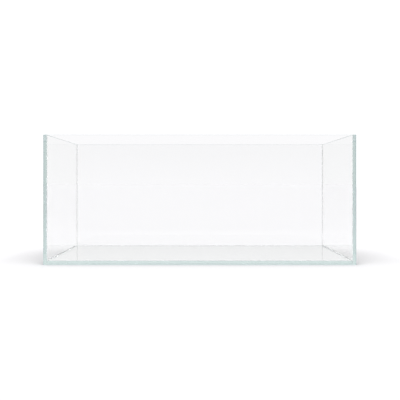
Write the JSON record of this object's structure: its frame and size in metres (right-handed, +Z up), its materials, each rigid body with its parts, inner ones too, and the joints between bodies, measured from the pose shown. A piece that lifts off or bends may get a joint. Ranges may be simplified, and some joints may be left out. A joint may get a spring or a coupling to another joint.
{
  "type": "glass aquarium tank",
  "caption": "Rimless open-top rectangular aquarium tank of clear low-iron glass panes with polished edges, bonded and sealed with clear silicone.",
  "frame": {"origin": "centre of the footprint, on the underside of the base and walls", "axes": "+X along the tank's length, the front pane faces -Y, +Z up"},
  "size_m": [1.2, 0.5, 0.5],
  "materials": {
    "low_iron_glass": "clear float glass, polished edges, faint green tint seen through its edges",
    "silicone_bond": "clear structural silicone",
    "silicone_seal": "clear, slightly milky tooled silicone"
  },
  "bodies": {
    "root": {"front_pane": "low_iron_glass", "back_pane": "low_iron_glass", "left_pane": "low_iron_glass", "right_pane": "low_iron_glass", "base_pane": "low_iron_glass", "corner_bond_front_left": "silicone_bond", "corner_bond_front_right": "silicone_bond", "corner_bond_back_left": "silicone_bond", "corner_bond_back_right": "silicone_bond", "base_bond_front": "silicone_bond", "base_bond_back": "silicone_bond", "base_bond_left": "silicone_bond", "base_bond_right": "silicone_bond", "corner_seal_front_left": "silicone_seal", "corner_seal_front_right": "silicone_seal", "corner_seal_back_left": "silicone_seal", "corner_seal_back_right": "silicone_seal", "base_seal_front": "silicone_seal", "base_seal_back": "silicone_seal", "base_seal_left": "silicone_seal", "base_seal_right": "silicone_seal"}
  },
  "joints": []
}
